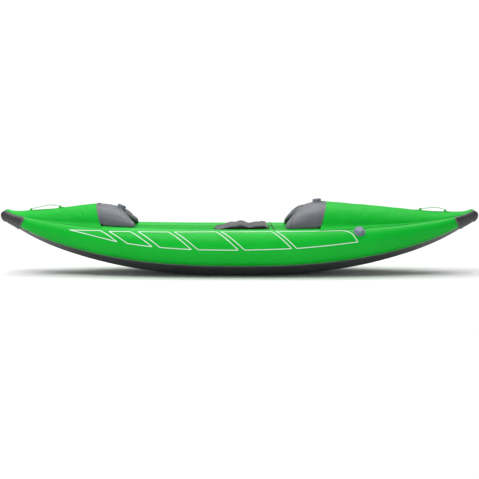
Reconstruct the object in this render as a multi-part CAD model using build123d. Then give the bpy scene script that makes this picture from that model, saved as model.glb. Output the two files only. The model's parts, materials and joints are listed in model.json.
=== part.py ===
"""Decked one-person inflatable kayak: two side air tubes, a drop-stitch floor, decks, splash hoods, a seat.

Frame: +X to the bow, +Y to port, +Z up. The origin is on the ground under the middle of the hull.
Units are millimetres.
"""
from build123d import *
from math import acos, atan2, cos, degrees, hypot, pi, radians, sin, sqrt
import os

os.makedirs("parts", exist_ok=True)

# ---- hull ----
HALF_LENGTH = 1862.0    # middle of the boat to the tip of a nose, wear cap included
TUBE_SPACING = 305.0    # centreline of the boat to the centre of a side tube, amidships
NOSE_SPACING = 40.0     # the same at the nose
TUBE_RADIUS = 141.0     # amidships
NOSE_RADIUS = 38.0
TUBE_TAPER_END = 1750.0  # where the tube has thinned to the nose radius
KEEL_DROP = 81.5        # tube underside down to the hull's underside, amidships
SHEER_RISE = 190.0      # slow rise of the tubes to the noses
NOSE_KICK = 60.0        # quick rise at the very ends
FIT_GAP = 0.4           # between neighbouring fabric parts

# ---- hull bottom, floor, nose caps ----
SKIN_THICKNESS = 2.0
SKIN_SEAM_ANGLE = -80.0  # where the bottom fabric leaves the tube, from horizontal outboard
FLOOR_THICKNESS = 100.0
FLOOR_END = 1250.0
NOSE_CHINE_RADIUS = 20.0  # turn of the hull's side at the caps
CAP_THICKNESS = 3.0
CAP_EDGE_TOP = (1673.0, 437.0)   # rear edge of a cap, (distance from amidships, height)
CAP_EDGE_LOW = (1707.0, 360.0)
CAP_TOP_ANGLE = 60.0     # how far round the tube the cap reaches, above horizontal

# ---- decks and hoods ----
DECK_THICKNESS = 1.6
DECK_END = 1812.0
BOW_DECK_START = 663.0   # ridge, cockpit end
STERN_DECK_START = 1103.0
BOW_RISE = 185.0         # ridge above the tube tops, where the deck meets the hood
STERN_RISE = 155.0
BOW_RISE_POWER = 1.3
STERN_RISE_POWER = 1.2
SEAM_RAKE = 0.284        # forward lean of the deck edge, per unit of height
HOOD_THICKNESS = 60.0
HOOD_DIP = 27.0          # how much the crest falls towards the cockpit
BOW_MOUTH = (470.0, 354.0)     # distance from amidships of the hood's crest and feet
STERN_MOUTH = (915.0, 803.0)
CROWN_POWER = 2.6       # squareness of the arch at the hoods, 2 is an ellipse

# ---- carry handles ----
BOW_HANDLE = (1416.0, 1546.0, 1612.0)    # sleeve, top of the loop, sleeve
STERN_HANDLE = (1404.0, 1483.0, 1632.0)
HANDLE_HEIGHT = 21.0
HANDLE_WIDTH = 25.0
HANDLE_THICKNESS = 3.0
HANDLE_PIN_RADIUS = 3.0
SLEEVE_LIFT = 8.0       # swing axis above the patch
PATCH_THICKNESS = 2.0

# ---- valves ----
VALVE_FLANGE_RADIUS = 45.0
VALVE_FLANGE_TOP = 2.5
VALVE_SEAT_DEPTH = 8.0
VALVE_NECK_RADIUS = 27.0
VALVE_BORE_RADIUS = 22.0
VALVE_COLLAR_TOP = 9.0
VALVE_MOUTH_LENGTH = 8.0   # fit of the pump nozzle
VALVE_DEPTH = 38.0
VALVE_TRAVEL = 5.0
NUT_RADIUS = 37.0
NUT_TOP = -12.3
NUT_HEIGHT = 6.0
CAP_RADIUS = 34.0
CAP_TOP = 27.0
CAP_HINGE = (-40.0, 5.6)
KNUCKLE_RADIUS = 2.6
RUN_GAP = 0.35          # between rigid parts that move on each other
TUBE_VALVE_X = 919.0
TUBE_VALVE_ANGLE = 51.0
BOW_HOOD_VALVE_X = 606.0
STERN_HOOD_VALVE_X = -928.0
FLOOR_VALVE_X = -430.0

# ---- seat ----
SEAT_REAR = -190.0
SEAT_FRONT = 215.0
SEAT_LOW = 300.0
SEAT_TOP = 345.0
BACKREST_HALF_WIDTH = 195.0
BACKREST_FRONT = 219.0
BACKREST_TOP = 401.0
SEAT_HINGE = (-203.0, 347.0)
SEAT_GAP = 4.0
STRAP_THICKNESS = 2.5
STRAP_WIDTH = 38.0
STRAP_OFFSET = 105.0     # centreline of the boat to the middle of a strap bundle
RING_X = (-330.0, 330.0)
RING_ANGLE = 162.0      # round the tube, from horizontal outboard
RING_RADIUS = 15.0
RING_WIRE = 2.2

SIDES = {"starboard": -1, "port": 1}


# ---- hull lines ----
def tube_at(x):
    """Centre (y, z) and radius of the port tube in the plane across the boat at x."""
    share = min(abs(x) / HALF_LENGTH, 1.0)
    y = NOSE_SPACING + (TUBE_SPACING - NOSE_SPACING) * (1 - share ** 2.2)
    taper = min(1.0, abs(x) / TUBE_TAPER_END) ** 2.5
    z = KEEL_DROP + TUBE_RADIUS + SHEER_RISE * share ** 2.4 + NOSE_KICK * share ** 8
    return y, z, NOSE_RADIUS + (TUBE_RADIUS - NOSE_RADIUS) * (1 - taper)


def underside(x):
    y, z, r = tube_at(x)
    return z - r - KEEL_DROP * max(1 - (x / HALF_LENGTH) ** 2, 0.0) ** 0.6 - 0.5


def chine_at(x):
    """Centre (y, z) and radius of the floor's side, or of the hull's turn beyond the floor."""
    y, z, r = tube_at(x)
    beyond = min(max((abs(x) - FLOOR_END) / (TUBE_TAPER_END - FLOOR_END), 0.0), 1.0)
    turn = FLOOR_THICKNESS / 2 + (NOSE_CHINE_RADIUS - FLOOR_THICKNESS / 2) * beyond
    low = underside(x) + SKIN_THICKNESS + FIT_GAP + turn
    reach = r + turn + 5 * FIT_GAP
    inboard = sqrt(max(reach ** 2 - (z - low) ** 2, 0.0))
    return max(y - inboard, 3.0), low, turn


def ridge(x):
    """Height of the deck and hood crest at x."""
    start, rise, power = (BOW_DECK_START, BOW_RISE, BOW_RISE_POWER)
    if x < 0:
        start, rise, power = (STERN_DECK_START, STERN_RISE, STERN_RISE_POWER)
    y, z, r = tube_at(x)
    along = (abs(x) - start) / (HALF_LENGTH - 25 - start)
    if along >= 0:
        return z + r + rise * (1 - min(along, 1.0) ** power)
    dip = HOOD_DIP * ((start - abs(x)) / 170) ** 2.4
    return z + r + max(rise - dip, HOOD_THICKNESS + 14)


def polar(centre, radius, angle):
    return centre[0] + radius * cos(radians(angle)), centre[1] + radius * sin(radians(angle))


def closed_face(x, runs):
    """Face across the boat at x. Each run is 2 points of a line or 3 points of an arc, as (y, z)."""
    edges = []
    for run in runs:
        points = [Vector(x, *p) for p in run]
        edges.append(Edge.make_line(*points) if len(points) == 2 else Edge.make_three_point_arc(*points))
    return Face(Wire(edges))


def mirrored(run):
    """The same run on the other side of the boat, drawn the other way."""
    return [(-y, z) for y, z in reversed(run)]


def symmetric_face(x, runs):
    """Face from the runs of its port half, drawn from the top of the middle line to the bottom of it."""
    top, low = runs[0][0], runs[-1][-1]
    both = runs + [mirrored(run) for run in reversed(runs)]
    if low[0] > 0:
        both.insert(len(runs), [low, (-low[0], low[1])])
    if top[0] > 0:
        both.append([(-top[0], top[1]), top])
    return closed_face(x, both)


def slab(x0, x1, y0, y1, z0, z1):
    return Pos((x0 + x1) / 2, (y0 + y1) / 2, (z0 + z1) / 2) * Box(x1 - x0, y1 - y0, z1 - z0)


def half_space(point, angle, side):
    """Everything ahead of (side 1) or behind (side -1) a plane through (x, z), leaning by angle from upright."""
    return Pos(point[0], 0, point[1]) * Rot(0, angle, 0) * Pos(side * 2500, 0, 0) * Box(5000, 3000, 5000)


# ---- air tubes ----
TUBE_STATIONS = (0.0, 0.12, 0.24, 0.34, 0.44, 0.53, 0.61, 0.69, 0.76, 0.82, 0.87, 0.91, 0.94)
NOSE_CENTRE = HALF_LENGTH - NOSE_RADIUS - CAP_THICKNESS - 2 * FIT_GAP
DOME_ANGLES = (28.0, 52.0, 72.0)


def tube_solid(grow=0.0):
    """Port tube from nose to nose, grown all round."""
    half = []
    for share in TUBE_STATIONS:
        y, z, r = tube_at(share * HALF_LENGTH)
        half.append((share * HALF_LENGTH, y, z, r + grow))
    y, z, r = tube_at(NOSE_CENTRE)
    half.append((NOSE_CENTRE, y, z, r + grow))
    for angle in DOME_ANGLES:
        half.append((NOSE_CENTRE + (r + grow) * sin(radians(angle)), y, z, (r + grow) * cos(radians(angle))))
    stations = [(-x, y, z, r) for x, y, z, r in reversed(half[1:])] + half
    return loft([Plane(origin=(x, y, z), x_dir=(0, 1, 0), z_dir=(1, 0, 0)) * Circle(r) for x, y, z, r in stations])


def both_sides(port_solid):
    return [port_solid, mirror(port_solid, about=Plane.XZ)]


def cut(solid, tools):
    for tool in tools:
        solid = solid - tool
    return solid


# ---- hull bottom, floor, nose caps ----
def skin_run(x, offset):
    """Port half of the bottom fabric's line at x, from the tube seam to the flat, offset from tube and floor."""
    ty, tz, tr = tube_at(x)
    cy, cz, turn = chine_at(x)
    start = polar((ty, tz), tr + FIT_GAP, SKIN_SEAM_ANGLE)
    start = (start[0] + offset - FIT_GAP, start[1])
    radius = turn + offset
    dy, dz = start[0] - cy, start[1] - cz
    leave_angle = degrees(atan2(dz, dy) - acos(min(1.0, radius / hypot(dy, dz))))
    leave = polar((cy, cz), radius, leave_angle)
    middle = polar((cy, cz), radius, (leave_angle - 90) / 2)
    return [[start, leave], [leave, middle, (cy, cz - radius)]]


def skin_section(x):
    outer = skin_run(x, FIT_GAP + SKIN_THICKNESS)
    inner = skin_run(x, FIT_GAP)
    inner_back = [list(reversed(run)) for run in reversed(inner)]
    middle = inner[-1][-1]
    port_inner = [[(-middle[0], middle[1]), middle]] + inner_back
    outer_all = outer + [[outer[-1][-1], (-outer[-1][-1][0], outer[-1][-1][1])]] + [mirrored(r) for r in outer[::-1]]
    starboard_inner = [[(-y, z) for y, z in run] for run in inner]
    edge = [inner[0][0], outer[0][0]]
    return closed_face(x, outer_all + [mirrored(edge)] + starboard_inner + port_inner + [edge])


SKIN_STATIONS = (0.0, 0.09, 0.18, 0.28, 0.38, 0.48, 0.57, 0.64, 0.70, 0.77, 0.84, 0.90, 0.94)


def both_ways(shares):
    return [-s * HALF_LENGTH for s in reversed(shares[1:])] + [s * HALF_LENGTH for s in shares]


def cap_edge(end, side, gap=0.0):
    """Half space on one side of the rear edge of a nose cap."""
    dx, dz = CAP_EDGE_LOW[0] - CAP_EDGE_TOP[0], CAP_EDGE_LOW[1] - CAP_EDGE_TOP[1]
    lean = degrees(atan2(dx, -dz))
    point = (end * (CAP_EDGE_TOP[0] + side * gap), CAP_EDGE_TOP[1])
    return half_space(point, -end * lean, end * side)


def hull_skin():
    skin = loft([skin_section(x) for x in both_ways(SKIN_STATIONS)])
    skin = skin & slab(-2000, 2000, -500, 500, 0, 1000)
    return skin & cap_edge(1, -1, FIT_GAP / 2) & cap_edge(-1, -1, FIT_GAP / 2)


def floor_section(x):
    """Drop-stitch panel across the boat: flat faces and half-round sides."""
    cy, cz, turn = chine_at(x)
    return symmetric_face(x, [[(cy, cz + turn), (cy + turn, cz), (cy, cz - turn)]])


FLOOR_STATIONS = (0.0, 0.09, 0.18, 0.28, 0.38, 0.48, 0.57)


def floor_panel():
    xs = both_ways(FLOOR_STATIONS)
    return loft([floor_section(x) for x in (-FLOOR_END, *xs, FLOOR_END)])


def cap_section(x, thickness, scale=1.0, at=None):
    """Stadium round both noses and the keel, this much outside them; open upwards if it has no thickness."""
    y, z, r = tube_at(at or x)
    outer = (r + 2 * FIT_GAP + thickness) * scale
    low = z - (z - underside(at or x) - CAP_THICKNESS + thickness) * scale
    shoulder = polar((y, z), outer, CAP_TOP_ANGLE)
    side = polar((y, z), outer, -48.0)
    turn = (0.62 * side[0], low)
    bulge = ((side[0] + turn[0]) / 2 + 0.07 * outer, (side[1] + turn[1]) / 2 - 0.06 * outer)
    runs = [[shoulder, (y + outer, z), side], [side, bulge, turn]]
    if thickness == 0:
        runs.insert(0, [(shoulder[0], z + 2 * NOSE_RADIUS), shoulder])
    return symmetric_face(x, runs)


def cap_form(thickness, rear):
    """Loft over the bow noses from the rear station to the tip."""
    steps = 9
    xs = [rear + (NOSE_CENTRE - rear) * k / steps for k in range(steps + 1)]
    faces = [cap_section(x, thickness) for x in xs]
    reach = NOSE_RADIUS + 2 * FIT_GAP + thickness
    for angle in range(12, 80, 9):
        x = NOSE_CENTRE + reach * sin(radians(angle))
        faces.append(cap_section(x, thickness, cos(radians(angle)), NOSE_CENTRE))
    return loft(faces, ruled=True)


def bow_nose_cap():
    """Shell over both noses, open on top between the tubes."""
    rear = CAP_EDGE_TOP[0] - 30
    return (cap_form(CAP_THICKNESS, rear) - cap_form(0, rear - 5)) & cap_edge(1, 1, FIT_GAP / 2)


# ---- decks and hoods ----
def crown(x, out):
    """Points (y, z) over the boat at x, from the port tube top to the starboard one: squarer near the hoods."""
    y, z, r = tube_at(x)
    start = BOW_DECK_START if x > 0 else STERN_DECK_START
    far = min(max((abs(x) - start) / (DECK_END - start), 0.0), 1.0)
    foot = z + r + FIT_GAP
    rise = ridge(x) + out - foot
    points = []
    for k in range(17):
        t = cos(pi * k / 16)
        dome = (1 - abs(t) ** CROWN_POWER) ** (1 / CROWN_POWER)
        points.append(((y + out) * t, foot + rise * ((1 - far) * dome + far * (1 - t * t))))
    return points


def arch_section(x, out, thickness):
    """Thin arch from tube top to tube top, its upper face pushed outwards by out."""
    outer, inner = crown(x, out), crown(x, out - thickness)
    edges = [Edge.make_spline([Vector(x, *p) for p in outer]),
             Edge.make_line(Vector(x, *outer[-1]), Vector(x, *inner[-1])),
             Edge.make_spline([Vector(x, *p) for p in reversed(inner)]),
             Edge.make_line(Vector(x, *inner[0]), Vector(x, *outer[0]))]
    return Face(Wire(edges))


def arch(x0, x1, out, thickness, steps=6):
    xs = [x0 + (x1 - x0) * k / steps for k in range(steps + 1)]
    return loft([arch_section(x, out, thickness) for x in xs])


def seam_plane(end, side, gap):
    """Half space on one side of the raked seam between deck and hood."""
    start = BOW_DECK_START if end > 0 else STERN_DECK_START
    lean = degrees(atan2(SEAM_RAKE, 1))
    return half_space((end * (start + side * gap), ridge(end * start)), end * lean, end * side)


def deck(end):
    start = (BOW_DECK_START if end > 0 else STERN_DECK_START) - 90
    ends = sorted((end * start, end * DECK_END))
    return arch(ends[0], ends[1], 0.0, DECK_THICKNESS, 12) & seam_plane(end, 1, FIT_GAP / 2)


def hood_section(x):
    y, z, r = tube_at(x)
    low = z + 0.6 * r
    outer, inner = crown(x, 0.0), crown(x, -HOOD_THICKNESS)
    edges = [Edge.make_spline([Vector(x, *p) for p in outer])]
    corners = [outer[-1], (outer[-1][0], low), (inner[-1][0], low), inner[-1]]
    edges += [Edge.make_line(Vector(x, *p), Vector(x, *q)) for p, q in zip(corners, corners[1:])]
    edges.append(Edge.make_spline([Vector(x, *p) for p in reversed(inner)]))
    corners = [inner[0], (inner[0][0], low), (outer[0][0], low), outer[0]]
    edges += [Edge.make_line(Vector(x, *p), Vector(x, *q)) for p, q in zip(corners, corners[1:])]
    return Face(Wire(edges))


def mouth_edge(end, y):
    """Distance from amidships of the cockpit edge of the hood: steep at the feet, swept back to the crest."""
    crest, feet = BOW_MOUTH if end > 0 else STERN_MOUTH
    reach = min(abs(y) / tube_at(feet)[0], 1.0)
    return feet + (crest - feet) * cos(pi / 2 * reach) ** 2


def mouth_cutter(end):
    ys = [-420 + 840 * k / 24 for k in range(25)]
    edge = [(end * mouth_edge(end, y), y) for y in ys]
    opening = make_face(Curve() + [Spline(*edge), Polyline(edge[-1], (0, 420), (0, -420), edge[0])])
    return extrude(opening, 1000)


def splash_hood(end, grown_tubes):
    crest, feet = BOW_MOUTH if end > 0 else STERN_MOUTH
    start = BOW_DECK_START if end > 0 else STERN_DECK_START
    x0, x1 = sorted((end * (feet - 40), end * (start + 20)))
    whole = loft([hood_section(x0 + (x1 - x0) * k / 6) for k in range(7)])
    return cut(whole & seam_plane(end, -1, FIT_GAP / 2), [mouth_cutter(end), *grown_tubes])


# ---- carry handles ----
def handle_axis(end):
    """Port-side view of the swing axis: sleeve points (x, z) from aft to forward."""
    rear, top, front = BOW_HANDLE if end > 0 else STERN_HANDLE
    xs = sorted((end * rear, end * front))
    lift = FIT_GAP + PATCH_THICKNESS + SLEEVE_LIFT
    return [(x, ridge(x) + lift) for x in xs], end * top


def axis_plane(end):
    (x0, z0), (x1, z1) = handle_axis(end)[0]
    return Plane(origin=(x0, 0, z0), x_dir=(x1 - x0, 0, z1 - z0), z_dir=(z0 - z1, 0, x1 - x0)), hypot(x1 - x0, z1 - z0)


def carry_handle(end):
    """Webbing loop between two round ends, drawn along its swing axis."""
    plane, length = axis_plane(end)
    apex = handle_axis(end)[1] - plane.origin.X
    path = Spline((16, 0), (apex, HANDLE_HEIGHT), (length - 16, 0), tangents=((0.8, 0.6), (0.8, -0.6)))
    flat = trace(path, HANDLE_THICKNESS)
    band = extrude(Plane.XZ * flat, HANDLE_WIDTH / 2, both=True)
    outline = Polyline((0, 2.6), (16, 2.6), (44, HANDLE_WIDTH / 2), (length - 44, HANDLE_WIDTH / 2),
                       (length - 16, 2.6), (length, 2.6), (length, -2.6), (length - 16, -2.6),
                       (length - 44, -HANDLE_WIDTH / 2), (44, -HANDLE_WIDTH / 2), (16, -2.6), (0, -2.6), (0, 2.6))
    band = band & Pos(0, 0, -50) * extrude(make_face(outline), 150)
    pin = Rot(0, 90, 0) * Cylinder(HANDLE_PIN_RADIUS, 26)
    loop = band + Pos(6, 0, 0) * pin + Pos(length - 6, 0, 0) * pin
    return plane.location * loop


def handle_patches(end):
    plane, length = axis_plane(end)
    pads = []
    for along in (0.0, length):
        outward = -1 if along == 0 else 1
        x = plane.from_local_coords((along, 0, 0)).X
        shell = arch(x - 45, x + 45, FIT_GAP + PATCH_THICKNESS, PATCH_THICKNESS, 4)
        pad = shell & slab(x - 14 - 16 * (outward < 0), x + 14 + 16 * (outward > 0), -22, 22, 0, 1000)
        block = slab(-8, 8, -6, 6, -SLEEVE_LIFT - 1.5, 5.2)
        bore = Rot(0, 90, 0) * Cylinder(HANDLE_PIN_RADIUS + RUN_GAP, 40)
        sleeve = plane.location * Pos(along, 0, 0) * (block - bore)
        under = arch(x - 45, x + 45, FIT_GAP, 20, 4)
        pads.append(pad + (sleeve - under))
    return pads


# ---- valves ----
def disc(radius, low, high):
    return Pos(0, 0, (low + high) / 2) * Cylinder(radius, high - low)


def ring(outer, inner, low, high):
    return disc(outer, low, high) - disc(inner, low - 1, high + 1)


def valve_body():
    seat = -VALVE_SEAT_DEPTH + FIT_GAP
    body = fillet(disc(VALVE_FLANGE_RADIUS, seat, VALVE_FLANGE_TOP).edges().group_by(Axis.Z)[-1], 2.0)
    body += disc(VALVE_NECK_RADIUS, -VALVE_DEPTH, VALVE_COLLAR_TOP)
    body -= disc(VALVE_BORE_RADIUS, 0, VALVE_COLLAR_TOP + 1)
    body -= disc(VALVE_BORE_RADIUS + 1.5, -VALVE_DEPTH + 4, VALVE_COLLAR_TOP - VALVE_MOUTH_LENGTH)
    body -= disc(14, -VALVE_DEPTH - 1, 0)
    guide = disc(7, -26, -22)
    for turn in range(3):
        guide += Rot(0, 0, 120 * turn) * slab(0, VALVE_BORE_RADIUS + 2.5, -2, 2, -26, -22)
    body += guide - disc(3.5 + RUN_GAP, -30, -20)
    x, z = CAP_HINGE
    for side in (-1, 1):
        lug = slab(x - 2.4, x + 2.4, side * 6 - 1.6, side * 6 + 1.6, 0, z)
        body += lug + Pos(x, side * 6, z) * Rot(90, 0, 0) * Cylinder(2.4, 3.2)
    return body + Pos(x, 0, z) * Rot(90, 0, 0) * Cylinder(1.0, 13)


def valve_nut():
    nut = ring(NUT_RADIUS, VALVE_NECK_RADIUS + FIT_GAP, NUT_TOP - NUT_HEIGHT, NUT_TOP)
    for turn in range(6):
        nut -= Rot(0, 0, 60 * turn) * Pos(NUT_RADIUS, 0, NUT_TOP - NUT_HEIGHT / 2) * Cylinder(4, NUT_HEIGHT + 1)
    return nut


def valve_plunger():
    button = fillet(disc(9, -12, -8.4).edges().group_by(Axis.Z)[-1], 1.5)
    return button + disc(3.5, -VALVE_DEPTH - 3, -11) + disc(17, -VALVE_DEPTH - 3, -VALVE_DEPTH - RUN_GAP)


def valve_spring():
    low, high = -21.0, -12.8
    coil = Helix(pitch=(high - low) / 3, height=high - low, radius=5.4)
    wire = Plane(origin=coil @ 0, z_dir=coil % 0) * Circle(0.45)
    return Pos(0, 0, low) * sweep(wire, path=coil, is_frenet=True)


def valve_cap():
    shell = fillet(disc(CAP_RADIUS, 3.0, CAP_TOP).edges().group_by(Axis.Z)[-1], 9.0)
    shell -= disc(VALVE_NECK_RADIUS + RUN_GAP, 0, VALVE_COLLAR_TOP + 1)
    shell -= disc(VALVE_NECK_RADIUS - 3, 0, CAP_TOP - 5)
    x, z = CAP_HINGE
    shell += slab(x + 1.5, -CAP_RADIUS + 3, -4, 4, z - 1.5, z + 1.5)
    shell += Pos(x, 0, z) * Rot(90, 0, 0) * Cylinder(KNUCKLE_RADIUS, 8)
    return shell - Pos(x, 0, z) * Rot(90, 0, 0) * Cylinder(1.0 + RUN_GAP, 12)


def valve_pocket():
    hole = disc(VALVE_FLANGE_RADIUS + FIT_GAP, -VALVE_SEAT_DEPTH, 60)
    hole += disc(VALVE_NECK_RADIUS + FIT_GAP, -20, 60)
    return hole + disc(NUT_RADIUS + 1.5, -VALVE_DEPTH - VALVE_TRAVEL - 8, NUT_TOP + 0.3)


def surface_plane(x, z_dir):
    """Plane on the crest at x, its normal square to the slope along the boat."""
    slope = (ridge(x + 5) - ridge(x - 5)) / 10
    return Plane(origin=(x, 0, ridge(x)), x_dir=(0, z_dir, 0), z_dir=(-slope, 0, 1))


def tube_valve_plane(side):
    y, z, r = tube_at(TUBE_VALVE_X)
    angle = radians(TUBE_VALVE_ANGLE)
    normal = Vector(0, side * cos(angle), sin(angle))
    slope = (tube_at(TUBE_VALVE_X + 5)[2] - tube_at(TUBE_VALVE_X - 5)[2]) / 10
    rise = (tube_at(TUBE_VALVE_X + 5)[1] - tube_at(TUBE_VALVE_X - 5)[1]) / 10
    inward = (tube_at(TUBE_VALVE_X + 5)[0] - tube_at(TUBE_VALVE_X - 5)[0]) / 10
    lean = slope + rise * sin(angle) + inward * cos(angle)
    normal = Vector(-lean, normal.Y, normal.Z)
    origin = (TUBE_VALVE_X, side * (y + r * cos(angle)), z + r * sin(angle))
    return Plane(origin=origin, x_dir=(1, 0, lean * 0.7), z_dir=normal)


def floor_valve_plane():
    cy, cz, turn = chine_at(FLOOR_VALVE_X)
    return Plane(origin=(FLOOR_VALVE_X, 0, cz + turn), x_dir=(0, 1, 0), z_dir=(0, 0, 1))


VALVES = {"starboard_tube": tube_valve_plane(-1), "port_tube": tube_valve_plane(1),
          "bow_hood": surface_plane(BOW_HOOD_VALVE_X, 1), "stern_hood": surface_plane(STERN_HOOD_VALVE_X, 1),
          "floor": floor_valve_plane()}


# ---- seat ----
def seat_profile(points, half_width):
    outline = make_face(Polyline(*points, points[0]))
    return extrude(Plane.XZ * outline, half_width, both=True)


def seat_base(grown_tubes):
    points = [(SEAT_REAR, SEAT_LOW), (SEAT_FRONT, SEAT_LOW), (SEAT_FRONT, SEAT_TOP), (SEAT_REAR, SEAT_TOP)]
    pad = seat_profile(points, TUBE_SPACING - 60)
    pad = fillet(pad.edges().filter_by(Axis.Y), 16)
    return cut(pad, grown_tubes)


def seat_backrest():
    low = SEAT_TOP + SEAT_GAP
    points = [(SEAT_REAR + 2, low), (BACKREST_FRONT, low), (BACKREST_FRONT, BACKREST_TOP - 19),
              (BACKREST_FRONT - 14, BACKREST_TOP - 4), (146, BACKREST_TOP - 9), (76, BACKREST_TOP - 19),
              (11, BACKREST_TOP), (-51, BACKREST_TOP - 12), (SEAT_REAR + 2, low + 18)]
    pad = seat_profile(points, BACKREST_HALF_WIDTH)
    return fillet(pad.edges().filter_by(Axis.Y), 7)


def hinge_webbing():
    strips = []
    for side in (-1, 1):
        x, z = SEAT_HINGE
        strips.append(slab(x + 3, SEAT_REAR - FIT_GAP, side * 90 - 25, side * 90 + 25, SEAT_LOW + 12, z - 3))
    return strips


def strap_path():
    """From the front of the seat base up past the folded backrest, over, and down to the hook."""
    x = BACKREST_FRONT + 9
    return FilletPolyline((x, SEAT_LOW + 10), (x, SEAT_TOP + 34), (x + 16, SEAT_TOP + 38), (x + 38, SEAT_TOP - 5),
                          radius=5)


def strap_bundle(side):
    face = trace(strap_path(), STRAP_THICKNESS)
    return Pos(0, side * STRAP_OFFSET, 0) * extrude(Plane.XZ * face, STRAP_WIDTH / 2, both=True)


def strap_buckle(side):
    """Slider round the standing part of the strap."""
    x, y, z = BACKREST_FRONT + 9, side * STRAP_OFFSET, SEAT_LOW + 32
    half = STRAP_WIDTH / 2
    frame = slab(x - 4, x + 5, y - half - 4, y + half + 4, z - 7, z + 7)
    slot = slab(x - 1.8, x + 1.8, y - half - 0.6, y + half + 0.6, z - 9, z + 9)
    return frame - slot + slab(x + 2.2, x + 8, y - half - 2, y + half + 2, z - 1.5, z + 1.5)


def snap_hook(side):
    """Webbing clip: an eye bar for the strap, a swivel neck and a hook with its gate."""
    x, z = BACKREST_FRONT + 49.5, SEAT_TOP - 10
    y = side * STRAP_OFFSET
    eye = slab(-4, 4, -STRAP_WIDTH / 2 - 4, STRAP_WIDTH / 2 + 4, -3, 3)
    neck = Pos(10, 0, 0) * Rot(0, 90, 0) * Cylinder(4, 14)
    loop = Pos(29, 0, 0) * (Cylinder(14, 5) - Cylinder(9.5, 7))
    return Pos(x, y, z) * Rot(0, 30, 0) * (eye + neck + loop)


# ---- seat rings on the tubes ----
def ring_plane(side, x):
    """Plane on the inner side of a tube, its x axis along the boat and its z axis away from the tube."""
    y, z, r = tube_at(x)
    angle = radians(RING_ANGLE)
    origin = (x, side * (y + r * cos(angle)), z + r * sin(angle))
    return Plane(origin=origin, x_dir=(1, 0, 0), z_dir=(0, side * cos(angle), sin(angle)))


def ring_patch(side, x, grown, thicker):
    plane = ring_plane(side, x)
    pad = (thicker - grown) & plane.location * Cylinder(38, 60)
    tab = slab(-12, 12, -5, 5, -3, 9)
    tab -= Pos(0, 0, 5.5) * Rot(0, 90, 0) * Cylinder(RING_WIRE + 0.4, 40)
    return pad + (plane.location * tab - grown)


def seat_ring(side, x):
    """D-shaped ring: a straight bar in the tab and a half-round bow hanging down from it."""
    plane = ring_plane(side, x)
    radius = RING_RADIUS + 2
    down = -1 if plane.y_dir.Z > 0 else 1
    bow = revolve(Plane.XZ * Pos(radius, 0) * Circle(RING_WIRE), Axis.Z, 180 * down)
    bar = Rot(0, 90, 0) * Cylinder(RING_WIRE, 2 * radius)
    return plane.location * Pos(0, 0, 5.5) * (bar + bow)


def write(name, shapes):
    solids = []
    for shape in (shapes if isinstance(shapes, list) else [shapes]):
        solids += shape.solids()
    export_step(solids[0] if len(solids) == 1 else Compound(solids), f"parts/{name}.step")
    return solids


def main():
    grown = tube_solid(FIT_GAP)
    thicker = tube_solid(FIT_GAP + PATCH_THICKNESS)
    grown_tubes = both_sides(grown)
    pockets = {name: plane.location * valve_pocket() for name, plane in VALVES.items()}
    port = tube_solid() - pockets["port_tube"]
    write("port_air_tube", port)
    write("starboard_air_tube", mirror(port, about=Plane.XZ))
    cap = bow_nose_cap()
    write("bow_nose_cap", cap)
    write("stern_nose_cap", mirror(cap, about=Plane.YZ))
    write("drop_stitch_floor", floor_panel() - pockets["floor"])
    write("hull_bottom_skin", hull_skin())
    for name, end in (("bow", 1), ("stern", -1)):
        write(f"{name}_deck", deck(end))
        write(f"{name}_splash_hood", splash_hood(end, grown_tubes) - pockets[f"{name}_hood"])
        write(f"{name}_carry_handle", carry_handle(end))
        write(f"{name}_handle_patches", handle_patches(end))
    for name, plane in VALVES.items():
        write(f"{name}_valve_body", plane.location * valve_body())
        write(f"{name}_valve_nut", plane.location * valve_nut())
        write(f"{name}_valve_plunger", plane.location * valve_plunger())
        write(f"{name}_valve_spring", plane.location * valve_spring())
        write(f"{name}_valve_cap", plane.location * valve_cap())
    write("seat_base", seat_base(grown_tubes))
    write("seat_backrest", seat_backrest())
    write("seat_hinge_webbing", hinge_webbing())
    patches = []
    for name, side in SIDES.items():
        write(f"{name}_seat_strap", strap_bundle(side))
        write(f"{name}_strap_buckle", strap_buckle(side))
        write(f"{name}_snap_hook", snap_hook(side))
        host = grown_tubes[0 if side > 0 else 1]
        host_thicker = thicker if side > 0 else mirror(thicker, about=Plane.XZ)
        for label, x in zip(("rear", "front"), RING_X):
            patches.append(ring_patch(side, x, host, host_thicker))
            write(f"{name}_{label}_seat_ring", seat_ring(side, x))
    write("seat_ring_patches", patches)


if __name__ == "__main__":
    main()
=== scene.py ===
import bpy, bmesh, json
from math import sin, cos, pi, radians, sqrt, atan2, acos, hypot, exp
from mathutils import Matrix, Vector, noise


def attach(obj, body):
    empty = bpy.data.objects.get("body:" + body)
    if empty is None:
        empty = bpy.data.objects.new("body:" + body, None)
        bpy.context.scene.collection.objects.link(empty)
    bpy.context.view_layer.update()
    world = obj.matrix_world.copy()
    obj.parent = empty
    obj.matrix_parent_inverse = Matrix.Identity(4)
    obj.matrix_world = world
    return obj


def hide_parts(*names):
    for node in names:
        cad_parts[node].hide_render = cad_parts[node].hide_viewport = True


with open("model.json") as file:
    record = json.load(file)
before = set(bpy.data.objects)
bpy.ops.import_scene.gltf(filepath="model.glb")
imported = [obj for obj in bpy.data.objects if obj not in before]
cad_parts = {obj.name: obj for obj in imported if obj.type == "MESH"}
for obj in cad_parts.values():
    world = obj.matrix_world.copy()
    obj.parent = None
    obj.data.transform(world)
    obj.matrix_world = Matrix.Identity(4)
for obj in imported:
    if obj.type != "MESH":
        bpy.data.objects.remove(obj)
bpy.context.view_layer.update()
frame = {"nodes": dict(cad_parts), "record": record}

ROOT = "hull"
scene = bpy.context.scene

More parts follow.
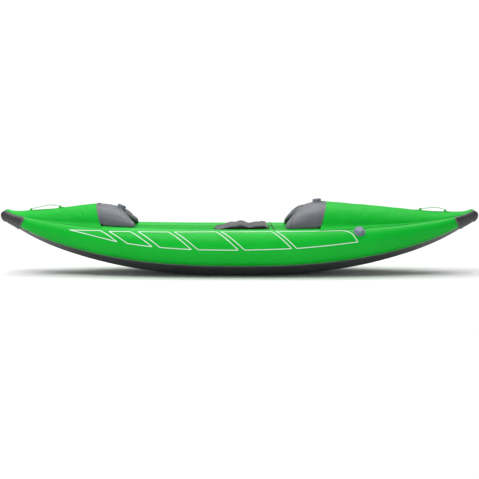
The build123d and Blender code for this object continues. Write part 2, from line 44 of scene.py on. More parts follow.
# ---------------- hull lines (mm), as in the CAD ----------------
HALF_LENGTH, NOSE_RADIUS = 1862.0, 38.0
NOSE_CENTRE = HALF_LENGTH - NOSE_RADIUS - 3.8     # x of the middle of a tube's round nose
DECK_START = {1: 663.0, -1: 1103.0}               # seam between hood and deck, bow and stern
DECK_END = 1812.0
HOOD_CREST = {1: 470.0, -1: 915.0}                # cockpit edge of the hood on the centreline
HOOD_FEET = {1: 354.0, -1: 803.0}                 # and on the tubes
SEAM_RAKE = .284
CROWN_POWER = 2.6                                 # squareness of the arch at the hoods


def tube_at(x):
    """Centre (y, z) and radius of a side tube at x."""
    u = min(abs(x) / HALF_LENGTH, 1.0)
    y = 40 + 265 * (1 - u ** 2.2)
    z = 222.5 + 190 * u ** 2.4 + 60 * u ** 8
    return y, z, NOSE_RADIUS + 103 * (1 - min(1.0, abs(x) / 1750) ** 2.5)


def underside(x):
    y, z, r = tube_at(x)
    return z - r - 81.5 * max(1 - (x / HALF_LENGTH) ** 2, 0.0) ** 0.6 - 0.5


def chine_at(x):
    """Centre (y, z) and radius of the turn between the flat bottom and the tube."""
    y, z, r = tube_at(x)
    beyond = min(max((abs(x) - 1250) / 500, 0.0), 1.0)
    turn = 50 - 30 * beyond
    low = underside(x) + 2.4 + turn
    return max(y - sqrt(max((r + turn + 2) ** 2 - (z - low) ** 2, 0.0)), 3.0), low, turn


def ridge(x):
    """Height of the deck and hood crest at x."""
    start, rise, power = (DECK_START[1], 185.0, 1.3) if x > 0 else (DECK_START[-1], 155.0, 1.2)
    y, z, r = tube_at(x)
    along = (abs(x) - start) / (HALF_LENGTH - 25 - start)
    if along >= 0:
        return z + r + rise * (1 - min(along, 1.0) ** power)
    return z + r + max(rise - 27 * ((start - abs(x)) / 170) ** 2.4, 74.0)


def arch(x, t, lift=0.0):
    """Point on the deck or hood crown at x: t from -1 (starboard tube top) to 1 (port tube top)."""
    y, z, r = tube_at(x)
    start = DECK_START[1 if x > 0 else -1]
    far = min(max((abs(x) - start) / (DECK_END - start), 0.0), 1.0)
    foot = z + r + 0.4
    rise = ridge(x) + lift - foot
    c = sin(max(-1.0, min(1.0, t)) * pi / 2)
    dome = max(1 - abs(c) ** CROWN_POWER, 0.0) ** (1 / CROWN_POWER)
    return Vector((x, (y + lift) * c, foot + rise * ((1 - far) * dome + far * (1 - c * c))))


def seam_offset(end, t):
    """How far the raked seam between hood and deck leans at t."""
    start = end * DECK_START[end]
    return SEAM_RAKE * (arch(start, t).z - ridge(start))


def wave(x, y, z, scale, amount):
    return amount * noise.noise(Vector((x * scale, y * scale, z * scale)))


# ---------------- mesh helpers ----------------
def make(name, verts, faces, mat, body=ROOT, uvs=None, smooth=True, replaces=(), slot=None):
    me = bpy.data.meshes.new(name)
    me.from_pydata([Vector(v) / 1000 for v in verts], [], faces)
    me.validate()
    bm = bmesh.new()
    bm.from_mesh(me)
    bmesh.ops.recalc_face_normals(bm, faces=bm.faces)
    bm.to_mesh(me)
    bm.free()
    if uvs:
        layer = me.uv_layers.new(name="UVMap")
        for poly in me.polygons:
            for i in poly.loop_indices:
                layer.data[i].uv = uvs[me.loops[i].vertex_index]
    for poly in me.polygons:
        poly.use_smooth = smooth
    ob = bpy.data.objects.new(name, me)
    scene.collection.objects.link(ob)
    me.materials.append(mat)
    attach(ob, body)
    if replaces:
        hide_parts(*replaces)
    return ob


def grid(name, fn, nu, nv, mat, wrap=False, caps=False, **kw):
    """Quads over fn(i/nu, j/nv); wrap closes the j direction."""
    verts, uvs, faces = [], [], []
    cols = nv if wrap else nv + 1
    for i in range(nu + 1):
        for j in range(cols):
            p = fn(i / nu, j / nv)
            verts.append(p)
            uvs.append((p[0] / 1000, j / nv))
    for i in range(nu):
        for j in range(nv):
            a, b = i * cols + j, i * cols + (j + 1) % cols
            faces.append((a, b, b + cols, a + cols))
    if caps:
        faces.append(tuple(reversed(range(cols))))
        faces.append(tuple(nu * cols + j for j in range(cols)))
    return make(name, verts, faces, mat, uvs=uvs, **kw)


def shell(name, fn, nu, nv, thick, mat, **kw):
    """Closed thin sheet: fn(u, v) gives the outer face, thick is measured inwards along the normal."""
    P = [[Vector(fn(i / nu, j / nv)) for j in range(nv + 1)] for i in range(nu + 1)]
    verts, uvs, faces = [], [], []
    for side in (0, 1):
        for i in range(nu + 1):
            for j in range(nv + 1):
                p = P[i][j]
                if side:
                    du = P[min(i + 1, nu)][j] - P[max(i - 1, 0)][j]
                    dv = P[i][min(j + 1, nv)] - P[i][max(j - 1, 0)]
                    n = du.cross(dv)
                    p = p - n.normalized() * thick if n.length > 1e-9 else p
                verts.append(p)
                uvs.append((p.x / 1000, j / nv))
    m = nv + 1
    off = (nu + 1) * m
    for i in range(nu):
        for j in range(nv):
            a = i * m + j
            faces.append((a, a + m, a + m + 1, a + 1))
            faces.append((off + a, off + a + 1, off + a + m + 1, off + a + m))
    rim = [i * m for i in range(nu)] + [nu * m + j for j in range(nv)] + \
          [i * m + nv for i in range(nu, 0, -1)] + [j for j in range(nv, 0, -1)]
    for a, b in zip(rim, rim[1:] + rim[:1]):
        faces.append((a, b, off + b, off + a))
    return make(name, verts, faces, mat, uvs=uvs, **kw)


def ribbon(name, path, ups, width, thick, mat, **kw):
    """Flat band along path (mm); ups gives the band's face normal at each point."""
    verts, faces, uvs = [], [], []
    run = 0.0
    for i, p in enumerate(path):
        p = Vector(p)
        t = (Vector(path[min(i + 1, len(path) - 1)]) - Vector(path[max(i - 1, 0)])).normalized()
        n = Vector(ups[i]).normalized()
        s = t.cross(n).normalized()
        w = width[i] if isinstance(width, (list, tuple)) else width
        run += (p - Vector(path[i - 1])).length if i else 0
        for a, b in ((-.5, -.5), (-.46, .5), (0, .62), (.46, .5), (.5, -.5), (0, -.5)):
            verts.append(p + s * w * a + n * thick * b)
            uvs.append((run / 1000, a + .5))
    for i in range(len(path) - 1):
        for j in range(6):
            a, b = i * 6 + j, i * 6 + (j + 1) % 6
            faces.append((a, a + 6, b + 6, b))
    faces += [tuple(range(6)), tuple(reversed(range(len(verts) - 6, len(verts))))]
    return make(name, verts, faces, mat, uvs=uvs, smooth=False, **kw)


# ---------------- materials ----------------
def lin(c):
    return tuple(((v / 255 + .055) / 1.055) ** 2.4 if v > 10 else v / 255 / 12.92 for v in c) + (1,)


def material(name, rgb, rough=.5, dark=.82, vary=3.0, weave=0, weave_bump=.15, wrinkle=.2, wrinkle_scale=9,
             sheen=0.0, spec=.5, metal=0.0, wear=0.0):
    """Cloth, rubber, plastic or metal: uneven colour and gloss, wrinkles, a weave and worn edges."""
    m = bpy.data.materials.new(name)
    m.use_nodes = True
    nt = m.node_tree
    N, K = nt.nodes, nt.links
    b = N["Principled BSDF"]
    b.inputs["Metallic"].default_value = metal
    b.inputs["Sheen Weight"].default_value = sheen
    b.inputs["Sheen Roughness"].default_value = .45
    b.inputs["Specular IOR Level"].default_value = spec
    tc = N.new("ShaderNodeTexCoord")
    big = N.new("ShaderNodeTexNoise")
    big.inputs["Scale"].default_value = vary
    big.inputs["Detail"].default_value = 6
    K.new(tc.outputs["Object"], big.inputs["Vector"])
    ramp = N.new("ShaderNodeValToRGB")
    c = lin(rgb)
    ramp.color_ramp.elements[0].position, ramp.color_ramp.elements[1].position = .3, .72
    ramp.color_ramp.elements[0].color = tuple(v * dark for v in c[:3]) + (1,)
    ramp.color_ramp.elements[1].color = c
    K.new(big.outputs["Fac"], ramp.inputs["Fac"])
    color = ramp.outputs["Color"]
    if wear:
        geo = N.new("ShaderNodeNewGeometry")
        er = N.new("ShaderNodeValToRGB")
        er.color_ramp.elements[0].position, er.color_ramp.elements[1].position = .52, .6
        K.new(geo.outputs["Pointiness"], er.inputs["Fac"])
        mx = N.new("ShaderNodeMix")
        mx.data_type = "RGBA"
        mx.blend_type = "SCREEN"
        sc = N.new("ShaderNodeMath")
        sc.operation = "MULTIPLY"
        sc.inputs[1].default_value = wear
        K.new(er.outputs["Color"], sc.inputs[0])
        K.new(sc.outputs[0], mx.inputs["Factor"])
        K.new(color, mx.inputs["A"])
        mx.inputs["B"].default_value = (.35, .36, .37, 1)
        color = mx.outputs["Result"]
    K.new(color, b.inputs["Base Color"])
    rn = N.new("ShaderNodeTexNoise")
    rn.inputs["Scale"].default_value = 30
    rn.inputs["Detail"].default_value = 4
    K.new(tc.outputs["Object"], rn.inputs["Vector"])
    mr = N.new("ShaderNodeMapRange")
    mr.inputs["To Min"].default_value, mr.inputs["To Max"].default_value = rough - .09, rough + .09
    K.new(rn.outputs["Fac"], mr.inputs["Value"])
    K.new(mr.outputs["Result"], b.inputs["Roughness"])
    wn = N.new("ShaderNodeTexNoise")
    wn.inputs["Scale"].default_value = wrinkle_scale
    wn.inputs["Detail"].default_value = 5
    wn.inputs["Roughness"].default_value = .55
    K.new(tc.outputs["Object"], wn.inputs["Vector"])
    b1 = N.new("ShaderNodeBump")
    b1.inputs["Strength"].default_value = wrinkle
    b1.inputs["Distance"].default_value = .01
    K.new(wn.outputs["Fac"], b1.inputs["Height"])
    last = b1
    if weave:
        prev = None
        for axis in ("X", "Y", "Z"):
            w = N.new("ShaderNodeTexWave")
            w.bands_direction = axis
            w.inputs["Scale"].default_value = weave
            w.inputs["Distortion"].default_value = .4
            K.new(tc.outputs["Object"], w.inputs["Vector"])
            if prev is None:
                prev = w.outputs["Fac"]
            else:
                mm = N.new("ShaderNodeMath")
                mm.operation = "MAXIMUM"
                K.new(prev, mm.inputs[0])
                K.new(w.outputs["Fac"], mm.inputs[1])
                prev = mm.outputs[0]
        b2 = N.new("ShaderNodeBump")
        b2.inputs["Strength"].default_value = weave_bump
        b2.inputs["Distance"].default_value = .0008
        K.new(prev, b2.inputs["Height"])
        K.new(b1.outputs["Normal"], b2.inputs["Normal"])
        last = b2
    K.new(last.outputs["Normal"], b.inputs["Normal"])
    return m


GREEN = material("tube_pvc", (2, 176, 44), rough=.44, dark=.9, weave=260, weave_bump=.12, wrinkle=.16,
                 spec=.16)
DECK = material("deck_fabric", (3, 176, 44), rough=.55, dark=.86, weave=300, weave_bump=.3, wrinkle=.5,
                wrinkle_scale=12, spec=.14)
TAPE = material("seam_tape", (2, 172, 43), spec=.16, rough=.42, dark=.9, weave=320, weave_bump=.15,
                wrinkle=.1)
GREY = material("hood_fabric", (84, 87, 93), rough=.55, dark=.86, weave=300, weave_bump=.3, wrinkle=.4,
                wrinkle_scale=11, sheen=.2)
GREYT = material("hood_piping", (78, 81, 87), rough=.5, dark=.9, weave=400, wrinkle=.1)
HULL = material("hull_pvc", (56, 58, 61), rough=.48, dark=.8, weave=200, weave_bump=.3, wrinkle=.2,
                wear=.25)
RUBBER = material("cap_rubber", (48, 46, 50), rough=.46, dark=.8, vary=14, wrinkle=.14, wrinkle_scale=40,
                  wear=.3)
FLOOR = material("floor_dropstitch", (66, 69, 73), rough=.6, dark=.85, weave=420, weave_bump=.5, wrinkle=.1)
SEAT = material("seat_nylon", (40, 41, 45), rough=.72, dark=.72, vary=12, weave=520, weave_bump=.6,
                wrinkle=.5, wrinkle_scale=22, sheen=.35)
PIPE = material("seat_piping", (26, 26, 29), rough=.6, weave=600, wrinkle=.1, sheen=.2)
WEB = material("black_webbing", (34, 34, 38), rough=.7, weave=700, weave_bump=.8, wrinkle=.2,
               wrinkle_scale=50, sheen=.3)
GWEB = material("green_webbing", (36, 190, 78), rough=.62, weave=700, weave_bump=.8, wrinkle=.2,
                wrinkle_scale=50, sheen=.3)
STRIPE = material("printed_line", (205, 228, 212), rough=.4, dark=.93, vary=20, weave=260, weave_bump=.1,
                  wrinkle=.1)
VALVE = material("valve_grey", (112, 124, 142), rough=.4, dark=.86, vary=30, wrinkle=.08,
                 wrinkle_scale=120, wear=.25)
BLOCK = material("valve_grey_cap", (100, 106, 116), rough=.42, dark=.85, vary=30, wrinkle=.08,
                 wrinkle_scale=120, wear=.25)
BLACK = material("moulded_black", (26, 26, 28), rough=.42, vary=40, wrinkle=.08, wrinkle_scale=150, wear=.3)
STEEL = material("stainless", (178, 180, 184), rough=.28, dark=.8, vary=60, wrinkle=.05,
                 wrinkle_scale=200, metal=1.0)
THREAD = material("stitching", (22, 120, 52), rough=.8, weave=900, wrinkle=.1)

SLOT_MAT = {"tube_fabric": GREEN, "deck_fabric": DECK, "hood_fabric": GREY, "hull_fabric": HULL,
            "floor_fabric": FLOOR, "cap_rubber": RUBBER, "green_webbing": GWEB, "black_webbing": WEB,
            "seat_fabric": SEAT, "black_plastic": BLACK, "valve_plastic": VALVE, "steel": STEEL}
SLOT_OF = {s["node"]: s["material_slot"] for s in frame["record"]["subparts"]}
for n, ob in frame["nodes"].items():
    mat = SLOT_MAT[SLOT_OF[n]]
    if "hood_valve" in n and mat is VALVE:
        mat = BLOCK
    ob.data.materials.clear()
    ob.data.materials.append(mat)
    for poly in ob.data.polygons:
        poly.material_index = 0


# ---------------- air tubes ----------------
XS = [-NOSE_CENTRE + 2 * NOSE_CENTRE * k / 190 for k in range(191)]
DOME = [12, 24, 36, 48, 60, 70, 80, 87]


def nose_ring(end, angle):
    """Ring of a tube's round nose: x, the x its section is taken from, and its scale."""
    return end * NOSE_CENTRE + end * NOSE_RADIUS * sin(radians(angle)), end * NOSE_CENTRE, cos(radians(angle))


RINGS = [nose_ring(-1, a) for a in reversed(DOME)] + [(x, x, 1.0) for x in XS]
RINGS += [nose_ring(1, a) for a in DOME]


def tube_point(side, x, at, scale, theta, lift=0.0):
    y, z, r = tube_at(at)
    soft = .8 * noise.noise(Vector((x * .006, side * 3 + cos(theta) * 1.3, sin(theta) * 1.3)))
    soft += .5 * noise.noise(Vector((x * .03, side * 9 + cos(theta) * 2, sin(theta) * 2)))
    rr = (r - .6 + soft * .5 + lift) * scale
    return Vector((x, side * (y + rr * cos(theta)), z + rr * sin(theta)))


for side, name in ((-1, "starboard"), (1, "port")):
    n = len(RINGS) - 1

    def fn(u, v, side=side):
        x, at, s = RINGS[round(u * n)]
        return tube_point(side, x, at, s, -side * v * 2 * pi)
    grid(f"{name}_tube_skin", fn, n, 72, GREEN, wrap=True, caps=True, replaces=[f"{name}_air_tube"],
         slot="tube_fabric")
    # welded seam tape along the tube, just above the hull bottom and on its inner side
    for label, deg, w in (("low", -62, 26), ("inner", 118, 24)):
        xs = [-1640 + 3280 * k / 150 for k in range(151)]
        path = [tube_point(side, x, x, 1, radians(deg), 1.0) for x in xs]
        ups = [(0, side * cos(radians(deg)), sin(radians(deg))) for x in xs]
        ribbon(f"{name}_{label}_seam_tape", path, ups, w, .9, TAPE, slot="tube_fabric")

# ---------------- printed pin-stripe panels ----------------
PANELS = [[(-1310, 33.5), (-1067, 48), (-936, 8)],
          [(-1002, 47.5), (-837, 53), (-665, 1.6), (-856, 5.7)],
          [(-776, 55), (-544, 60), (-366, -1), (-607, 1)],
          [(-499, 61), (-182, 66), (-8, -1), (-316, -1)],
          [(-142, 66), (245, 66), (397, 1.5), (39, -.7)],
          [(280, 67), (779, 62), (822, 56), (861, 43), (905, 9), (435, 1.5)]]
for side, name in ((-1, "starboard"), (1, "port")):
    for k, poly in enumerate(PANELS):
        pts, nrm = [], []
        for (x0, a0), (x1, a1) in zip(poly, poly[1:] + poly[:1]):
            steps = 26
            for i in range(steps):
                t = i / steps
                x, a = x0 + (x1 - x0) * t, radians(a0 + (a1 - a0) * t)
                pts.append(tube_point(side, x, x, 1, a, 1.5))
                nrm.append(Vector((0, side * cos(a), sin(a))))
        pts.append(pts[0])
        nrm.append(nrm[0])
        ribbon(f"{name}_stripe_{k}", pts, nrm, 6.5, .35, STRIPE, slot="tube_fabric")


# ---------------- hull bottom skin ----------------
def skin_point(x, v):
    """v from -1 (starboard seam) to 1 (port seam)."""
    ty, tz, tr = tube_at(x)
    cy, cz, turn = chine_at(x)
    a = radians(-80)
    sx = (ty + (tr + .4) * cos(a) + 2.0, tz + (tr + .4) * sin(a))
    rad = turn + 2.4
    dy, dz = sx[0] - cy, sx[1] - cz
    la = atan2(dz, dy) - acos(min(1.0, rad / hypot(dy, dz)))
    s = 1 if v >= 0 else -1
    t = abs(v)
    if t < .4:
        p = (cy * t / .4, cz - rad)
    elif t < .75:
        b = -pi / 2 + (la + pi / 2) * (t - .4) / .35
        p = (cy + rad * cos(b), cz + rad * sin(b))
    else:
        q = (cy + rad * cos(la), cz + rad * sin(la))
        w = (t - .75) / .25
        p = (q[0] + (sx[0] - q[0]) * w, q[1] + (sx[1] - q[1]) * w)
    return Vector((x, s * p[0], max(p[1], 0.0)))


def cap_rear(z):
    """Distance from amidships of the raked rear edge of a nose cap."""
    return 1673 + (437 - z) * 34 / 77


def skin_fn(u, v):
    v = v * 2 - 1
    z = skin_point((u * 2 - 1) * 1700, v).z
    return skin_point((u * 2 - 1) * (cap_rear(z) - 1), v)


shell("hull_bottom_sheet", skin_fn, 180, 60, -1.8, HULL, replaces=["hull_bottom_skin"], slot="hull_fabric")


# ---------------- drop-stitch floor and its side bands ----------------
def floor_fn(u, v):
    x = (u * 2 - 1) * 1250
    cy, cz, turn = chine_at(x)
    t = v * 4
    if t < 1:
        y, z = cy * (1 - 2 * t), cz + turn
    elif t < 2:
        a = pi / 2 + pi * (t - 1)
        y, z = -cy + turn * cos(a), cz + turn * sin(a)
    elif t < 3:
        y, z = -cy + 2 * cy * (t - 2), cz - turn
    else:
        a = -pi / 2 + pi * (t - 3)
        y, z = cy + turn * cos(a), cz + turn * sin(a)
    return Vector((x, y, z))


grid("floor_skin", floor_fn, 120, 96, FLOOR, wrap=True, caps=True, replaces=["drop_stitch_floor"],
     slot="floor_fabric")
for s in (-1, 1):
    xs = [-1240 + 2480 * k / 80 for k in range(81)]
    path = [(x, s * (chine_at(x)[0] + 12), chine_at(x)[1] + chine_at(x)[2] - 1.2) for x in xs]
    ribbon(f"floor_edge_band_{'p' if s > 0 else 's'}", path, [(0, 0, 1)] * 81, 26, 1.0, PIPE,
           slot="floor_fabric")


# ---------------- decks ----------------
def deck_fn(end, u, v, lift=0.0):
    """Deck at u from the hood to the nose and v across, with its folds and radiating creases."""
    t = v * 2 - 1
    x0 = DECK_START[end] + seam_offset(end, t) + .6
    x = x0 + (DECK_END - x0) * u
    fold = 1.6 * exp(-((abs(t) - .9) / .1) ** 2) * sin(x * .045 + 3 * end) * min(1, u * 8) * min(1,
                     (1 - u) * 4)
    fold += wave(x, t * 160, end * 50, .009, 3.2) * (1 - t * t) * min(1, u * 8) * min(1, (1 - u) * 5)
    fold += 1.2 * sin(9 * t + x * .012) * (1 - t * t) * min(1, u * 6) * min(1, (1 - u) * 5)
    for cx, ct, ang in CREASES[end]:
        dx, dy = x - cx, (t - ct) * 190
        for k in range(5):
            a = ang + k * .34
            along, off = dx * cos(a) + dy * sin(a), -dx * sin(a) + dy * cos(a)
            if along > 0:
                fold += 2.3 * exp(-(off / (6 + along * .05)) ** 2) * exp(-along / 130) * min(1,
                        along / 30) * (-1) ** k
    if abs(t) < .9:
        return arch(end * x, t * .98 / .9, lift - 1.5 + fold * .8)
    return deck_flap(end * x, t, lift)


def deck_flap(x, t, lift):
    """Sewn edge: straight from the foot of the arch to the tube, then welded down on its outer side."""
    a = arch(x, .98, lift - 1.5)
    y, z, r = tube_at(x)
    r += .6 + lift
    reach = max(hypot(a.y - y, a.z - z), r + .01)
    touch = atan2(a.z - z, a.y - y) - acos(r / reach)
    w = (abs(t) - .9) / .1
    if w < .75:
        end = Vector((x, y + r * cos(touch), z + r * sin(touch)))
        p = a + (end - a) * (w / .75)
    else:
        turn = touch - radians(1.5) * (w - .75) / .25
        p = Vector((x, y + r * cos(turn), z + r * sin(turn)))
    return Vector((p.x, p.y if t > 0 else -p.y, p.z))


# distance from amidships, place across and direction of each fan of creases
CREASES = {1: [(900, -.86, -.2), (900, .86, -1.2), (700, -.5, -.6), (1416, 0, 2.0)],
           -1: [(1180, -.86, -.2), (1180, .86, -1.2), (1404, 0, 2.0)]}
for end, name in ((1, "bow"), (-1, "stern")):
    d = shell(f"{name}_deck_sheet", lambda u, v, e=end: deck_fn(e, u, v if e < 0 else 1 - v), 120, 48,
              1.4, DECK,
              replaces=[f"{name}_deck"], slot="deck_fabric")


# ---------------- splash hoods ----------------
def mouth_edge(end, y):
    """Cockpit edge of the hood, as in the CAD."""
    crest, feet = HOOD_CREST[end], HOOD_FEET[end]
    reach = min(abs(y) / tube_at(feet)[0], 1.0)
    return feet + (crest - feet) * cos(pi / 2 * reach) ** 2


def hood_point(end, t, w, inset):
    """t across (-1..1), w along from the cockpit edge (0) to the deck seam (1), inset towards the inside."""
    x0 = mouth_edge(end, arch(end * mouth_edge(end, 0), t).y) + 1.0
    x1 = DECK_START[end] + seam_offset(end, t) - .6
    return arch(end * (x0 + (x1 - x0) * w), t, -inset)


def hood_fn(end):
    """Inflated panel: v runs over the outer face, round the cockpit edge, back inside, up the deck side."""
    def fn(u, v):
        t = u * 2 - 1
        thick = 56 - 8 * (1 - t * t)
        f = v % 1
        if f < .4:
            w, inset = 1 - f / .4 * .9, 0.0
        elif f < .5:
            a = (f - .4) / .1 * pi
            w, inset = .1 - .1 * sin(a), thick / 2 * (1 - cos(a))
        elif f < .9:
            w, inset = .1 + (f - .5) / .4 * .9, thick
        else:
            w, inset = 1.0, thick * (1 - (f - .9) / .1)
        crown = 3.5 * sin(pi * min(max(w, 0), 1)) * (1 if inset < thick / 2 else -1)
        crease = 1.6 * sin(24 * t + 2 * w) * sin(pi * w) + 2.2 * noise.noise(Vector((t * 5, w * 2.2, end)))
        p = hood_point(end, t, w, inset - crown + 3.5 + crease * .5 * (1 if inset == 0 else 0))
        # the feet spread onto the tubes
        y, z, r = tube_at(p.x)
        d = hypot(abs(p.y) - y, p.z - z)
        if d < r + .6:
            out = (r + .6) / max(d, 1)
            p = Vector((p.x, (y + (abs(p.y) - y) * out) * (1 if p.y > 0 else -1), z + (p.z - z) * out))
        return p
    return fn


for end, name in ((1, "bow"), (-1, "stern")):
    h = grid(f"{name}_hood_skin", hood_fn(end), 72, 80, GREY, wrap=True, caps=True,
             replaces=[f"{name}_splash_hood"], slot="hood_fabric")
    for label, w, width, thick, lift in (("mouth", .14, 10, 2.4, 1.2), ("rear", 1.0, 26, 1.4, 1.6)):
        across = [-.97 + 1.94 * k / 70 for k in range(71)]
        pts = [hood_point(end, t, w, -lift) for t in across]
        ups = [hood_point(end, t, w, -20) - hood_point(end, t, w, 0) for t in across]
        ribbon(f"{name}_hood_{label}_piping", pts, ups, width, thick, GREYT, slot="hood_fabric")


# ---------------- nose caps ----------------
CAP_WALL, HEM_AT, STRAIGHT = 3.6, 1690, .72


def cap_outline(x, at, scale, v):
    """v from -1 to 1 round the outside from starboard shoulder, under the keel, to port shoulder."""
    y, z, r = tube_at(at)
    o = (r + CAP_WALL) * scale
    low = -(z - underside(at)) * scale
    s = 1 if v >= 0 else -1
    t = abs(v)
    top = radians(60)
    side = (o * cos(radians(-48)) + y, o * sin(radians(-48)))
    turn = (.62 * side[0], low)
    if t < .22:
        p = (turn[0] * t / .22, low + (1.5 if t < .1 else 0))
    elif t < .42:
        w = (t - .22) / .2
        bulge = o * sin(pi * w)
        p = (turn[0] + (side[0] - turn[0]) * w + .07 * bulge,
             turn[1] + (side[1] - turn[1]) * w - .06 * bulge)
    else:
        a = radians(-48) + (top - radians(-48)) * (t - .42) / .58
        p = (y + o * cos(a), o * sin(a))
    return Vector((x, s * p[0], z + p[1]))


def cap_fn(end):
    """Rear edge to the middle of the noses up to u = STRAIGHT, then over the round noses."""
    def fn(u, v):
        v = v * 2 - 1
        if u < STRAIGHT:
            x0 = cap_rear(cap_outline(HEM_AT, HEM_AT, 1, v).z) + 1
            x = x0 + (NOSE_CENTRE - x0) * u / STRAIGHT
            p = cap_outline(x, x, 1, v)
        else:
            a = radians((u - STRAIGHT) / (1 - STRAIGHT) * 86)
            p = cap_outline(NOSE_CENTRE + (NOSE_RADIUS + CAP_WALL) * sin(a), NOSE_CENTRE, cos(a), v)
        return Vector((end * p.x, p.y * end, p.z))
    return fn


for end, name in ((1, "bow"), (-1, "stern")):
    cap = cap_fn(end)
    shell(f"{name}_nose_guard", cap, 50, 90, 2.4, RUBBER, replaces=[f"{name}_nose_cap"], slot="cap_rubber")
    # raised hem round the guard's rear edge
    pts = [cap(.015, k / 90) for k in range(91)]
    ups = [p - Vector((p.x, 0, tube_at(HEM_AT)[1])) for p in pts]
    ribbon(f"{name}_guard_hem", [p + u.normalized() for p, u in zip(pts, ups)], ups, 12, 1.6, RUBBER,
           slot="cap_rubber")


# ---------------- carry handles ----------------
def handle(end):
    """Middle line, face normals and widths of a carry handle's webbing."""
    rear, apex, front = (1416.0, 1546.0, 1612.0) if end > 0 else (1404.0, 1483.0, 1632.0)
    xs = sorted((end * rear, end * front))
    apex *= end
    lift = 10.4     # swing axis above the deck
    a, b = Vector((xs[0], 0, ridge(xs[0]) + lift)), Vector((xs[1], 0, ridge(xs[1]) + lift))
    along = (b - a)
    nrm = Vector((-along.z, 0, along.x)).normalized()
    pk = (apex - a.x) / (b.x - a.x)
    pts, wid = [], []
    n = 60
    for k in range(n + 1):
        t = k / n
        q = t / pk if t < pk else (1 - t) / (1 - pk)
        h = 21 * (min(q, 1) - .1 * min(q, 1) ** 5)
        pts.append(a + along * t + nrm * h)
        wid.append(6 + 19 * min(1, min(t, 1 - t) * along.length / 40) ** .8)
    ups = []
    for k in range(n + 1):
        t = (pts[min(k + 1, n)] - pts[max(k - 1, 0)]).normalized()
        ups.append(Vector((-t.z, 0, t.x)))
    return pts, ups, wid


for end, name in ((1, "bow"), (-1, "stern")):
    pts, ups, wid = handle(end)
    ribbon(f"{name}_handle_webbing", pts, ups, wid, 3.0, GWEB, body=f"{name}_carry_handle_loop",
           replaces=[f"{name}_carry_handle"], slot="green_webbing")
    for s in (-1, 1):
        seam = [p + Vector((0, s * 9.2, 0)) + u * 1.6 for p, u in zip(pts[8:-8], ups[8:-8])]
        ribbon(f"{name}_handle_stitch_{'p' if s > 0 else 's'}", seam, ups[8:-8], 1.0, .6, THREAD,
               body=f"{name}_carry_handle_loop", slot="green_webbing")


# ---------------- seat ----------------
def pad(name, x0, x1, half_w, zlow, ztop, mat, body, node, crown=6.0, channels=(), side=None):
    """Crowned cushion: zlow(x), ztop(x) profiles, sides drawn in between the corners, sewn cross channels."""
    nu, nv = 56, 96
    verts, faces, uvs = [], [], []
    for i in range(nu + 1):
        u = i / nu
        for j in range(nv):
            a = 2 * pi * j / nv
            ca, sa = cos(a), sin(a)
            cx = (abs(ca) ** .32) * (1 if ca > 0 else -1)
            cz = (abs(sa) ** .55) * (1 if sa > 0 else -1)
            endr = (1 - abs(2 * u - 1) ** 9) ** .5      # drawn in towards both ends
            x = x0 + (x1 - x0) * u
            zl, zt = zlow(x), ztop(x)
            mid, hh = (zl + zt) / 2, (zt - zl) / 2 - 3
            hw = (half_w(x, mid) if callable(half_w) else half_w) - 4
            hw -= 5 * sin(pi * u)
            y = hw * cx * (.97 + .03 * endr)
            puff = crown * (1 - min(1, abs(y) / hw) ** 4) * endr
            ch = sum(4.5 * exp(-((x - c) / 5.5) ** 2) for c in channels)
            z = mid + cz * hh * max(endr, .12) + (puff * .4 if cz > 0 else 0) - (ch if cz > .3 else 0) * endr
            z += wave(x, y, 0, .02, 2.6) * endr * (1 if cz > 0 else .3) + wave(x, y, 9, .06, 1.1) * endr
            if side:
                y = side(x, y, z)
            verts.append((x, y, z))
            uvs.append((x / 1000, j / nv))
    for i in range(nu):
        for j in range(nv):
            p, q = i * nv + j, i * nv + (j + 1) % nv
            faces.append((p, q, q + nv, p + nv))
    faces += [tuple(reversed(range(nv))), tuple(range(nu * nv, nu * nv + nv))]
    ob = make(name, verts, faces, mat, body=body, uvs=uvs, replaces=[node], slot="seat_fabric")
    return ob


def clear_tube(x, y, z):
    ty, tz, tr = tube_at(x)
    lim = ty - sqrt(max((tr + 1.0) ** 2 - (z - tz) ** 2, 0))
    return max(-lim, min(lim, y))


BACK = [(-188, 354), (-51, 388), (11, 399), (76, 381), (146, 391), (200, 396), (219, 384)]


def back_top(x):
    for (x0, z0), (x1, z1) in zip(BACK, BACK[1:]):
        if x <= x1:
            w = (x - x0) / (x1 - x0)
            return z0 + (z1 - z0) * w * w * (3 - 2 * w)
    return BACK[-1][1]


pad("seat_base_pad", -190, 215, lambda x, z: 232, lambda x: 300, lambda x: 345, SEAT, ROOT, "seat_base",
    crown=4, channels=(-90, 10, 110), side=clear_tube)
pad("seat_backrest_pad", -188, 219, 195, lambda x: 349, back_top, SEAT, "backrest", "seat_backrest",
    crown=5, channels=(-120, -30, 76, 150))

# sewn edge round the front and the sides of both pads
for nm, x0, x1, half_w, height, body in (("back", -183, 214, 187, lambda x: (349 + back_top(x)) / 2, "backrest"),
                                         ("base", -183, 208, 0, lambda x: 330, ROOT)):
    pts = []
    for k in range(41):
        x = x0 + (x1 - x0) * k / 40
        pts.append(Vector((x, -(half_w or abs(clear_tube(x, -400, 330)) - 6), height(x))))
    pts += [Vector((x1 + 3, pts[-1].y * (1 - 2 * k / 20), height(x1))) for k in range(1, 20)]
    pts += [Vector((p.x, -p.y, p.z)) for p in reversed(pts[:41])]
    mid = (x0 + x1) / 2
    ups = [Vector((p.x - mid, p.y, 0)) if abs(p.x - x1) < 5 else Vector((0, p.y, 0)) for p in pts]
    ribbon(f"seat_{nm}_piping", pts, ups, 6, 4.5, PIPE, body=body, slot="seat_fabric")


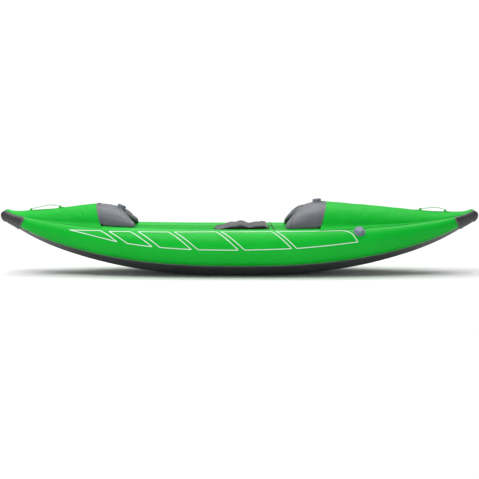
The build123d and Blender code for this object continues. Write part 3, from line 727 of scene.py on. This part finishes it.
def through(points, steps=5):
    """Smooth (x, z) curve through the points, with the given number of steps between two of them."""
    out = []
    for i in range(len(points) - 1):
        near = points[max(i - 1, 0)], points[i], points[i + 1], points[min(i + 2, len(points) - 1)]
        for k in range(steps):
            t = k / steps
            out.append([.5 * (2 * b + (c - a) * t + (2 * a - 5 * b + 4 * c - d) * t * t
                              + (3 * b - a - 3 * c + d) * t ** 3) for a, b, c, d in zip(*near)])
    return out + [points[-1]]


# up past the folded backrest, over, and down to the hook
STRAP = [(228, 311), (228, 330), (228, 350), (228, 368), (229.5, 376), (234, 380), (240, 382), (245, 381),
         (249, 376), (255, 363), (261, 351), (266, 340.5)]
for s, side in ((-1, "starboard"), (1, "port")):
    pts = [Vector((x, s * 105, z)) for x, z in through(STRAP)]
    ups = []
    for k in range(len(pts)):
        t = (pts[min(k + 1, len(pts) - 1)] - pts[max(k - 1, 0)]).normalized()
        ups.append(Vector((-t.z, 0, t.x)))
    ribbon(f"{side}_strap_webbing", pts, ups, 38, 2.5, WEB, body=f"{side}_strap",
           replaces=[f"{side}_seat_strap"], slot="black_webbing")


# ---------------- stage, light, camera ----------------
fm = bpy.data.materials.new("studio_floor")
fm.use_nodes = True
fb = fm.node_tree.nodes["Principled BSDF"]
fb.inputs["Base Color"].default_value = (.86, .86, .86, 1)
fb.inputs["Roughness"].default_value = .9
half, low = 3.2, -.002
me = bpy.data.meshes.new("studio_floor")
me.from_pydata([(-half, -half, low), (half, -half, low), (half, half, low), (-half, half, low)],
               [], [(0, 1, 2, 3)])
floor = bpy.data.objects.new("studio_floor", me)
scene.collection.objects.link(floor)
me.materials.append(fm)

world = bpy.data.worlds.new("studio")
scene.world = world
world.use_nodes = True
wn, wl = world.node_tree.nodes, world.node_tree.links
coord, sep, ramp = wn.new("ShaderNodeTexCoord"), wn.new("ShaderNodeSeparateXYZ"), wn.new("ShaderNodeValToRGB")
wl.new(coord.outputs["Generated"], sep.inputs["Vector"])
wl.new(sep.outputs["Z"], ramp.inputs["Fac"])
ramp.color_ramp.elements[0].position, ramp.color_ramp.elements[0].color = .12, (1.0, 1.0, 1.0, 1)
ramp.color_ramp.elements[1].position, ramp.color_ramp.elements[1].color = .3, (.26, .26, .26, 1)
wl.new(ramp.outputs["Color"], wn["Background"].inputs["Color"])
wn["Background"].inputs["Strength"].default_value = 1.05
for nm, loc, size, power in (("key", (-1.5, -2.5, 6.0), 4, 300), ("top", (0, 2.5, 6), 6, 420)):
    li = bpy.data.lights.new(nm, "AREA")
    li.size, li.energy = size, power
    ob = bpy.data.objects.new(nm, li)
    ob.location = loc
    ob.rotation_euler = (Vector((0, 0, .25)) - Vector(loc)).to_track_quat("-Z", "Y").to_euler()
    scene.collection.objects.link(ob)

cam = bpy.data.cameras.new("camera")
co = bpy.data.objects.new("camera", cam)
scene.collection.objects.link(co)
el, dist, target = radians(5.7), 14.0, Vector((0, 0, .257))
co.location = target + Vector((0, -cos(el), sin(el))) * dist
co.rotation_euler = (target - co.location).to_track_quat("-Z", "Y").to_euler()
cam.sensor_width = 36
cam.lens = 9.577 * dist
cam.clip_end = 200
scene.camera = co
scene.view_settings.view_transform = "Standard"
